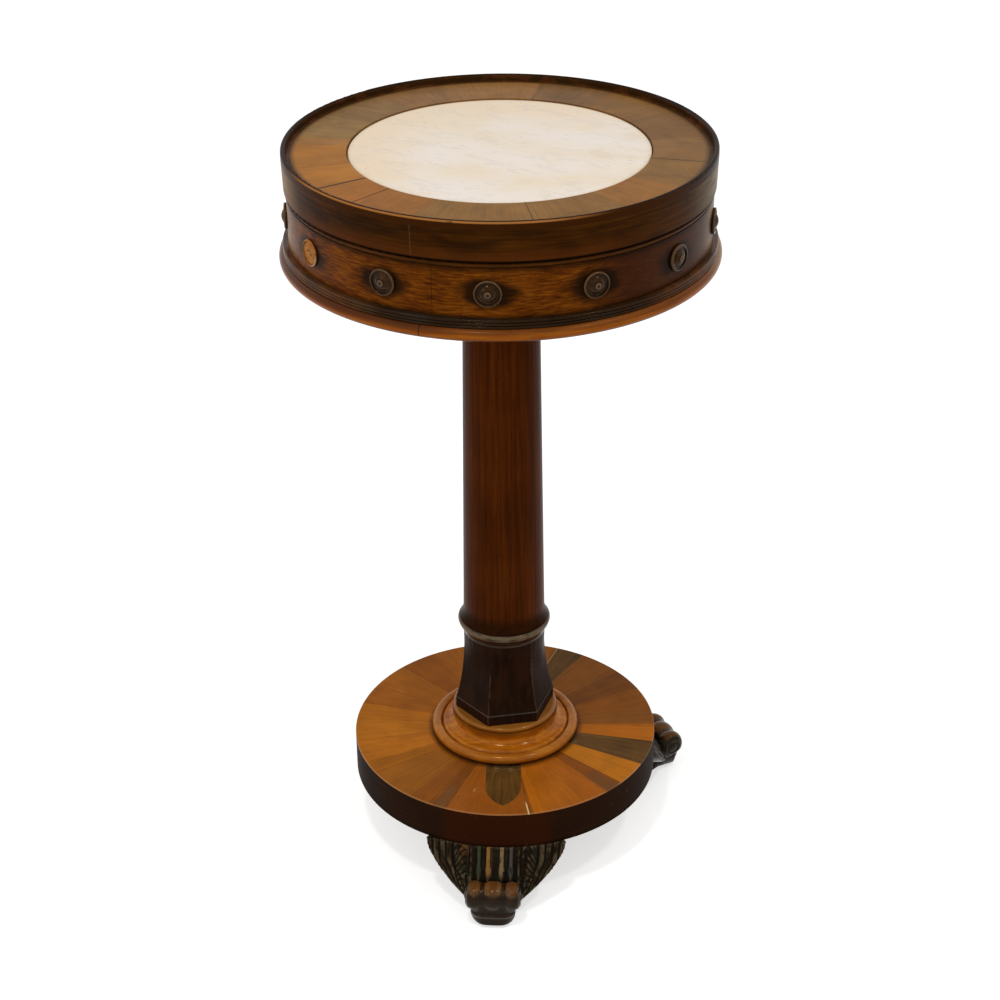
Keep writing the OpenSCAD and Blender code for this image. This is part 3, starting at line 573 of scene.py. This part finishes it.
# Painted sheen on the bead's outer face, broken up as rub wear.
colour = stain(colour, "#75634c", 0.75, within(radius, (COLLAR_R - 2.4, COLLAR_R - 0.6)), bead_rub_and_sheen)
polish(colour, 0.17, height, 0.02, Specular_IOR_Level=0.2, Specular_Tint=SHEEN)
paint(collar_wood, "collar")

# SHAFT: a tapering column of mahogany with upright grain, tenoned into the bearer and the platform.
# Dark red-brown french polish, with painted shade down its left side, and darker just above the collar.
shaft_wood, tree, surface = new_material("mahogany shaft, dark red french polish")
height_mm = height_here()
angle = angle_here()
coords = add("TexCoord", out=OBJECT)
SHAFT_TONES = ["#381804", "#4b2006", "#5e2b0a"]
colour, height = grain(coords, SHAFT_TONES, [3.5, 3.5, 160], [0.8, 0.8, 14], 90, "#200b03", 0.6)
# Painted shade down the shaft's left side.
left_side_shade = either(within(angle, None, (-158, -138)), within(angle, (120, 170)))
colour = stain(colour, "#3a2208", 0.5, left_side_shade)
colour = stain(colour, "#1b0f06", 0.75, within(height_mm, None, (COLLAR_TOP + 6, COLLAR_TOP + 20)))
polish(colour, 0.32, height, 0.03, Specular_IOR_Level=0.02)
paint(shaft_wood, "shaft")

# DRUM FRIEZE: a laminated hoop faced with walnut veneer, its grain running round the drum.
# Polish has gone black round each boss, where cloths could not reach, and dark red-brown to the right.
FRIEZE_R = 198.5
FRIEZE_INNER = (190, 194)
BOSSES = 13
BOSS_STEP = 360 / BOSSES
FIRST_BOSS = -89.3
BOSS_Z = sum(corner.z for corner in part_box("boss_01")) / 2 / MM


def boss_offset(angle, height_mm):
    """Distance in mm from the nearest boss's centre, sideways and up."""
    turn = add("Math", angle, 720 - FIRST_BOSS + BOSS_STEP / 2, operation="ADD")
    local = add("Math", add("Math", turn, BOSS_STEP, operation="MODULO"), BOSS_STEP / 2, operation="SUBTRACT")
    side = add("Math", local, FRIEZE_R * math.pi / 180, operation="MULTIPLY")
    return side, add("Math", height_mm, BOSS_Z, operation="SUBTRACT")


def from_boss(side, up, squash=1.0):
    """Distance in mm from the boss's centre, with sideways distances shortened by squash."""
    short = add("Math", side, squash, operation="MULTIPLY")
    return add("VectorMath", add("CombineXYZ", short, up, 0.0), operation="LENGTH")


frieze_wood, tree, surface = new_material("figured walnut frieze veneer, french polished")
radius = radius_here()
height_mm = height_here()
angle = angle_here()
coords = add("TexCoord", out=OBJECT)
FRIEZE_TONES = ["#3f1c04", "#5a2a06", "#753d09", "#8c4d10"]
colour, height = grain(coords, FRIEZE_TONES, [14, 14, 1.6], [5, 5, 0.6], 55, "#200d03", 0.75)
colour = stain(colour, "#35190c", 0.8, within(angle, (-72, -52)))
outer = within(radius, FRIEZE_INNER)
# The drum's far left and right are painted tan as a grazing sheen.
end_sheen = either(within(angle, (-180, -175), (-170, -154)), within(angle, (-20, -6), (10, 60)))
colour = stain(colour, "#a98352", 0.6, end_sheen, outer)
colour = stain(colour, "#5d4128", 0.7, within(radius, None, FRIEZE_INNER))
side, up = boss_offset(angle, height_mm)
smudge = add("Math", mottle(coords, [18, 18, 9], 3.0), 12.0, operation="MULTIPLY")
reach = add("Math", from_boss(side, up, 0.55), smudge, operation="ADD")
colour = stain(colour, "#120a05", 0.92, within(reach, None, (15, 24)), outer)
# A dark band along the frieze's top is painted shade under the lid, and a dark band also runs along its foot.
ends = either(within(up, (16.5, 22.5)), within(up, None, (-24.5, -19)))
colour = stain(colour, "#170b05", 0.75, ends, outer)
colour = stain(colour, "#0f0704", 0.6, joint_line(angle, radius, -103.5, 0.5))
polish(colour, 0.32, height, 0.05, Specular_IOR_Level=0.04)
paint(frieze_wood, "frieze_hoop")

# BEAD UNDER THE LID: a thin beech bead glued round the drum's top, stained the frieze's brown.
# Its upper edge is painted nearly black as shade under the lid.
BEAD_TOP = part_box("frieze_bead")[1].z / MM
bead_wood, tree, surface = new_material("brown-stained beech bead, dull polish")
height_mm = height_here()
coords = add("TexCoord", out=OBJECT)
colour, height = grain(coords, ["#381b06", "#4c2808", "#60350d"], [30, 30, 1.2], [6, 6, 0.5], 40, "#140902")
colour = stain(colour, "#0f0703", 0.85, within(height_mm, (BEAD_TOP - 3.2, BEAD_TOP - 1.6)))
polish(colour, 0.34, height, 0.03)
paint(bead_wood, "frieze_bead")

# REEDED MOULDING: pear or beech reeds glued round the drum's foot, ebonised.
# The black is whole at the front, with a thin shine on each reed, and worn to brown at the sides.
reeding, tree, surface = new_material("ebonised pear reeding, worn brown at the sides")
angle = angle_here()
coords = add("TexCoord", out=OBJECT)
colour, height = grain(coords, ["#3a220e", "#523016", "#684020"], [30, 30, 1.2], [6, 6, 0.5], 40, "#0f0804")
whole = within(angle, (-132, -112), (-52, -30))
colour = stain(colour, "#18120b", 0.85, whole)
bloom = within(mottle(coords, [40, 40, 20], 3.0), (0.42, 0.66))
polish(stain(colour, "#33302a", 0.3, bloom), 0.2, height, 0.02, Specular_IOR_Level=0.08)
paint(reeding, "reeded_moulding")

# BASE TORUS: a bent half-round of walnut under the drum, orange where its polish is thin.
# It is darker on its upper left, painted tan at the far right as a grazing sheen, painted dark as shade along
# its underside, and scarfed at the front left.
torus_wood, tree, surface = new_material("walnut half-round, thin orange polish")
radius = radius_here()
height_mm = height_here()
angle = angle_here()
coords = add("TexCoord", out=OBJECT)
TORUS_LOW, TORUS_HIGH = (corner.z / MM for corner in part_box("base_torus"))
TORUS_TONES = ["#7d3d0c", "#9c5212", "#b0661a"]
colour, height = grain(coords, TORUS_TONES, [60, 60, 2.2], [10, 10, 0.6], 60, "#4a200a", 0.45)
upper = within(height_mm, (TORUS_LOW + 5, TORUS_HIGH - 2))
colour = stain(colour, "#4a1a0a", 0.8, upper, within(angle, (-180, -165), (-112, -96)))
colour = stain(colour, "#4a2a16", 0.6, upper)
# Painted grazing sheen at the far right.
colour = stain(colour, "#a98b62", 0.5, within(angle, (-22, -8), (20, 60)))
# Painted shade along the underside.
colour = stain(colour, "#3a1d0c", 0.75, within(height_mm, None, (TORUS_LOW + 1, TORUS_LOW + 4)))
colour = stain(colour, "#1a0b04", 0.9, joint_line(angle, radius, -106.2, 0.7))
polish(colour, 0.26, height, 0.03, Specular_IOR_Level=0.12)
paint(torus_wood, "base_torus")

# BOSSES: small turned buttons glued and pinned round the frieze, dark brown polish.
# Their rims and middle buttons are paler, partly rub wear and partly painted highlight, and the rings between
# them are darker.
WORN = "boss_12"
boss_wood, tree, surface = new_material("turned boss, dark polish with rubbed rim")
height_mm = height_here()
angle = angle_here()
coords = add("TexCoord", out=OBJECT)
colour, height = grain(coords, ["#1f1109", "#321e10", "#482d1a"], [8, 8, 8], [1, 1, 2], 18, "#150905", 0.4)
side, up = boss_offset(angle, height_mm)
away = from_boss(side, up)
# Paler rim and button: partly wear, partly painted highlight.
colour = stain(colour, "#75573a", 0.5, within(away, (10.9, 11.6), (12.2, 12.8)))
colour = stain(colour, "#8a6a52", 0.5, within(away, (1.2, 1.8), (2.6, 3.2)))
colour = stain(colour, "#0d0705", 0.85, within(away, (8.7, 9.4), (10.2, 10.9)))
colour = stain(colour, "#1a0c08", 0.8, within(away, (3.0, 3.5), (4.2, 4.9)))
polish(colour, 0.18, height, 0.008, Specular_IOR_Level=0.13, Specular_Tint=GOLDEN)
paint(boss_wood, *[n for n in NODES if n.startswith("boss_") and n != WORN])

# WORN BOSS: one boss has lost its dome down to bare orange wood, with two nail holes and a pale rim.
# Old glue and wax leave it duller than the others.
worn_wood, tree, surface = new_material("bare worn boss, old glue and wax")
height_mm = height_here()
angle = angle_here()
coords = add("TexCoord", out=OBJECT)
side, up = boss_offset(angle, height_mm)
colour, height = grain(coords, ["#8f4f18", "#ab6a28", "#bd8038"], [9, 9, 2], [2, 2, 0.5], 12, "#7a4518", 0.4)
NAILS = ((-2.6, 1.6), (2.4, -1.0))
for nail_side, nail_up in NAILS:
    from_nail = add("Math", side, nail_side, operation="SUBTRACT")
    nail = from_boss(from_nail, add("Math", up, nail_up, operation="SUBTRACT"))
    colour = stain(colour, "#1c0d05", 0.95, within(nail, None, (0.8, 1.6)))
away = from_boss(side, up)
colour = stain(colour, "#3a1c0c", 0.6, within(away, (9.2, 10.2), (11.0, 11.6)))
colour = stain(colour, "#e2b98a", 0.7, within(away, (11.2, 12.0)), within(up, None, (-3, 2)))
polish(colour, 0.42, height, 0.08)
paint(worn_wood, WORN)

# WELL LINING: dark green paper pasted on the drum's floor, its fibres just visible.
# It has yellowed in cloudy patches.
lining, tree, surface = new_material("dark green lining paper")
coords = add("TexCoord", out=OBJECT)
fibre = mottle(coords, [0.9, 2.5, 1], 3.0, 0.7)
colour = add("ValToRGB", fibre, stops=[(0.3, "#22331f"), (0.55, "#2d4229"), (0.8, "#3b5234")])
colour = stain(colour, "#4a4a30", 0.35, within(mottle(coords, [45, 45, 45], 3.0), (0.45, 0.7)))
polish(colour, 0.85, fibre, 0.05)
paint(lining, "well_lining")

# HINGES AND SCREWS: two cast brass butt hinges let into the lid and the drum, and iron wood screws below.
# The brass has lost its lacquer and gone dull, and the iron has a thin brown rust.
NEUTRAL = "#ffffff"
brass, tree, surface = new_material("aged brass, lacquer gone")
coords = add("TexCoord", out=OBJECT)
tarnish = mottle(coords, [5, 5, 5], 4.0)
colour = add("ValToRGB", tarnish, stops=[(0.35, "#6f5526"), (0.55, "#9a7a3c"), (0.75, "#b8964f")])
polish(colour, 0.38, tarnish, 0.03, Metallic=1.0, Specular_IOR_Level=0.5, Specular_Tint=NEUTRAL)
HINGE_PARTS = ("hinge_lid_leaf", "hinge_frieze_leaf", "hinge_pin")
paint(brass, "lid_hinge_screws", "frieze_hinge_screws")
for part in HINGE_PARTS:
    paint(brass, "left_" + part, "right_" + part)

iron, tree, surface = new_material("dull iron screw, lightly rusted")
coords = add("TexCoord", out=OBJECT)
rust = mottle(coords, [2, 2, 2], 4.0)
colour = add("ValToRGB", rust, stops=[(0.4, "#3c3833"), (0.6, "#4d4239"), (0.75, "#6a4527")])
polish(colour, 0.55, rust, 0.05, Metallic=0.8, Specular_IOR_Level=0.5, Specular_Tint=NEUTRAL)
paint(iron, "bearer_screws", "foot_screws")

# LID BAND: the lid's deep hoop, dark walnut veneer with grain round the drum, clouded with old black wax.
# It is warmer low down, and painted with a grey-tan grazing sheen where it turns away at the far left and
# right.
LID_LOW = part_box("lid_band")[0].z / MM
band_wood, tree, surface = new_material("dark walnut lid veneer, french polished")
radius = radius_here()
height_mm = height_here()
angle = angle_here()
coords = add("TexCoord", out=OBJECT)
BAND_TONES = ["#2c1504", "#3e1f05", "#4f2b08"]
colour, height = grain(coords, BAND_TONES, [70, 70, 2.4], [9, 9, 0.6], 60, "#160903", 0.5)
wax = within(mottle(coords, [46, 46, 22], 4.0, 0.5, 0.6), (0.44, 0.68))
colour = stain(colour, "#1a0e05", 0.6, wax)
warm = within(height_mm, None, (LID_LOW + 3, LID_LOW + 15))
colour = stain(colour, "#5e2e0e", 0.5, warm, within(angle, (-180, -165), (-60, -40)))
dull = within(mottle(coords, [40, 40, 6], 3.0), (0.25, 0.5))
# The far left and far right are painted with a grey-tan grazing sheen, broken up by the mottle above.
colour = stain(colour, "#a57c4a", 0.8, within(angle, (-180, -175), (-170, -146)), dull)
colour = stain(colour, "#8d7a54", 0.7, within(angle, (-34, -4), (20, 60)), dull)
scratch = joint_line(angle, radius, -108.6, 0.4)
colour = stain(colour, "#8d7350", 0.3, scratch, within(dull, (0.2, 0.9)))
# Painted shade line along the band's lower edge.
colour = stain(colour, "#0d0704", 0.8, within(height_mm, None, (LID_LOW + 0.2, LID_LOW + 1.8)))
polish(colour, 0.36, height, 0.04, Specular_IOR_Level=0.03)
paint(band_wood, "lid_band")

# TOP CROSSBANDING: sheets of faded walnut veneer laid radially between the marble and the lip.
# Orange-brown at the left, greyish at the back, taupe at the right, with thin open splits.
TOP_SHEETS = [
    (-180, "#a36820"), (-161, "#a76a20"), (-143.5, "#9b5f1e"), (-129, "#905b22"), (-110, "#835c2a"),
    (-77.3, "#815a2a"), (-52, "#8f5f28"), (-30, "#805b2c"), (-8, "#825c30"), (11, "#77532a"),
    (33, "#7f5829"), (57, "#76532e"), (80.8, "#895f30"), (104.3, "#845d33"), (130.8, "#805f35"),
    (153, "#8a6838"), (172, "#96672f"),
]
MARBLE_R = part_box("marble_disc")[1].x / MM
RING_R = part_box("top_crossbanding")[1].x / MM
top_veneer, tree, surface = new_material("faded walnut crossbanding, dull polish")
radius = radius_here()
angle = angle_here()
coords = add("TexCoord", out=OBJECT)
colour, height = fan_veneer(TOP_SHEETS, 165, [1.9, 1.9, 45], 0.3, "#4a2c12", 0.6)
colour = stain(colour, "#3a2413", 0.6, within(radius, (RING_R - 5, RING_R - 0.5)))
SPLITS = [(-143.6, 1.8, 1.0), (-129.5, 1.0, 0.85), (-9.0, 1.1, 0.9), (-77.3, 0.7, 0.75)]
for at, half_mm, most in SPLITS:
    colour = stain(colour, "#160b05", most, joint_line(angle, radius, at, half_mm))
polish(colour, 0.38, height, 0.03, Specular_IOR_Level=0.05)
paint(top_veneer, "top_crossbanding")

# GALLERY LIP: a turned and bent moulding round the lid, stained near black with a dark-brown inner hollow.
# Its outer face is the band's brown at the front, with a thin pale-orange worn arris.
LIP_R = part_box("gallery_lip")[1].x / MM
LIP_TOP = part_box("gallery_lip")[1].z / MM
lip_wood, tree, surface = new_material("black-stained walnut lip, worn arris")
radius = radius_here()
height_mm = height_here()
angle = angle_here()
coords = add("TexCoord", out=OBJECT)
colour, height = grain(coords, ["#170e09", "#22150d", "#2e1c11"], [50, 50, 2], [6, 6, 0.5], 40)
patchy = mottle(coords, [20, 20, 8], 4.0)
inside = within(radius, None, (LIP_R - 5.2, LIP_R - 3.6))
colour = stain(colour, "#43290f", 0.7, inside)
colour = stain(colour, "#6a381a", 0.4, inside, within(patchy, (0.5, 0.6)))
front = within(angle, (-170, -150), (-40, -15))
colour = stain(colour, "#3e1f05", 0.85, within(radius, (LIP_R - 1.2, LIP_R - 0.5)), front)
arris = within(height_mm, (LIP_TOP - 2.4, LIP_TOP - 1.6), (LIP_TOP - 0.7, LIP_TOP - 0.2))
outer = within(radius, (LIP_R - 2.2, LIP_R - 1.2))
worn = within(mottle(coords, [16, 16, 8], 3.0), (0.22, 0.4))
colour = stain(colour, "#b5763c", 0.75, arris, outer, worn, within(angle, (-160, -140), (-78, -55)))
polish(colour, 0.34, height, 0.03, Specular_IOR_Level=0.03)
paint(lip_wood, "gallery_lip")

# MARBLE: a sawn and honed disc of cream-white statuary marble, resting in the lid.
# Pinkish in the middle, peach towards the left and back edge, with sparse short grey flecks.
marble, tree, surface = new_material("honed cream statuary marble")
radius = radius_here()
angle = angle_here()
coords = add("TexCoord", out=OBJECT)
ground = mottle(coords, [80, 50, 50], 3.0)
colour = add("ValToRGB", ground, stops=[(0.35, "#ecdac0"), (0.5, "#eee0cf"), (0.66, "#f0e3d8")])
edge_tint = either(within(angle, None, (-160, -120)), within(angle, (20, 70)))
colour = stain(colour, "#edd4b2", 0.8, edge_tint, within(radius, (55, 125)))
turned = add("Mapping", coords, None, (0.0, 0.0, math.radians(24)))
fleck = mottle(turned, [8, 3, 4], 4.0, 0.6, 0.4)
sparse = within(mottle(coords, [55, 45, 45], 2.0), (0.46, 0.58))
colour = stain(colour, "#a39d96", 0.5, within(fleck, (0.6, 0.7)), sparse)
veins = mottle(turned, [34, 14, 14], 4.0, 0.6, 0.8)
colour = stain(colour, "#d6c8b8", 0.35, within(veins, (0.54, 0.6), (0.6, 0.68)))
colour = stain(colour, "#c9a878", 0.35, within(radius, (MARBLE_R - 5, MARBLE_R - 0.3)))
polish(colour, 0.36, fleck, 0.01, Specular_IOR_Level=0.3, Specular_Tint=NEUTRAL)
paint(marble, "marble_disc")

# ROOM: a plain white floor that keeps a soft shadow, a white world, two small high lamps and a broad low one.
# Floor and world are white to the camera, in reflections and through glass, and plainer as light.
WORLD_LIGHT = 0.5
FLOOR_LIFT = 0.58
FLOOR_R = 6.0
FLOOR_DROP = 0.5
LAMPS_AIM = Vector((0, 0, 0.5))


def seen_white():
    """1 for camera, glossy and transmission rays."""
    path = add("LightPath").node.outputs
    return either(path["Is Camera Ray"], path["Is Glossy Ray"], path["Is Transmission Ray"])


shape = bmesh.new()
bmesh.ops.create_circle(shape, cap_ends=True, segments=64, radius=FLOOR_R)
bmesh.ops.translate(shape, verts=shape.verts, vec=(0, 0, -FLOOR_DROP * MM))
mesh = bpy.data.meshes.new("floor")
shape.to_mesh(mesh)
shape.free()
floor = bpy.data.objects.new("floor", mesh)
bpy.context.scene.collection.objects.link(floor)
floor_paint, tree, surface = new_material("matt white floor")
lift = add("Math", seen_white(), FLOOR_LIFT, operation="MULTIPLY")
polish("#f2f2f0", 0.9, Specular_IOR_Level=0.0, Emission_Color="#ffffff", Emission_Strength=lift)
floor.data.materials.append(floor_paint)

world = bpy.data.worlds.new("white room")
world.use_nodes = True
bpy.context.scene.world = world
tree = world.node_tree
strength = add("MapRange", seen_white(), 0.0, 1.0, WORLD_LIGHT, 1.0)
tree.links.new(strength, tree.nodes["Background"].inputs["Strength"])
tree.nodes["Background"].inputs["Color"].default_value = linear("#ffffff")


def softbox(name, azimuth, elevation, away, size, watts):
    """A rectangular lamp that looks at the column's middle from an azimuth and elevation in degrees."""
    lamp = bpy.data.lights.new(name, "AREA")
    lamp.shape = "RECTANGLE"
    lamp.size, lamp.size_y = size
    lamp.energy = watts
    obj = bpy.data.objects.new(name, lamp)
    turned, raised = math.radians(azimuth), math.radians(elevation)
    level = math.cos(raised)
    direction = Vector((math.cos(turned) * level, math.sin(turned) * level, math.sin(raised)))
    turn = direction.to_track_quat("Z", "Y").to_matrix().to_4x4()
    obj.matrix_world = Matrix.Translation(LAMPS_AIM + direction * away) @ turn
    bpy.context.scene.collection.objects.link(obj)


softbox("key softbox", azimuth=-105, elevation=64, away=2.2, size=(0.2, 0.2), watts=10)
softbox("side softbox", azimuth=-22, elevation=58, away=2.2, size=(0.18, 0.18), watts=7)
softbox("low fill", azimuth=-135, elevation=30, away=2.4, size=(0.9, 0.9), watts=6)

CAMERA_AZIMUTH = math.radians(-86)
CAMERA_AWAY = 1.896
CAMERA_HEIGHT = 1.4255
CAMERA_DOWN = math.radians(28.9)
CAMERA_ROLL = math.radians(-0.53)
CAMERA_SENSOR = 36.0
CAMERA_LENS = 77.7
CAMERA_SHIFT = -0.003
camera = bpy.data.cameras.new("camera")
camera.sensor_width = CAMERA_SENSOR
camera.lens = CAMERA_LENS
camera.shift_x = CAMERA_SHIFT
camera_object = bpy.data.objects.new("camera", camera)
place = Vector((math.cos(CAMERA_AZIMUTH), math.sin(CAMERA_AZIMUTH), 0)) * CAMERA_AWAY
place.z = CAMERA_HEIGHT
level = Vector((-place.x, -place.y, 0)).normalized()
ahead = level * math.cos(CAMERA_DOWN) - Vector((0, 0, math.sin(CAMERA_DOWN)))
right = ahead.cross(Vector((0, 0, 1))).normalized()
above = right.cross(ahead)
right, above = (
    right * math.cos(CAMERA_ROLL) + above * math.sin(CAMERA_ROLL),
    above * math.cos(CAMERA_ROLL) - right * math.sin(CAMERA_ROLL),
)
turn = Matrix((right, above, -ahead)).transposed().to_4x4()
camera_object.matrix_world = Matrix.Translation(place) @ turn
bpy.context.scene.collection.objects.link(camera_object)
bpy.context.scene.camera = camera_object
bpy.context.scene.view_settings.view_transform = "Standard"
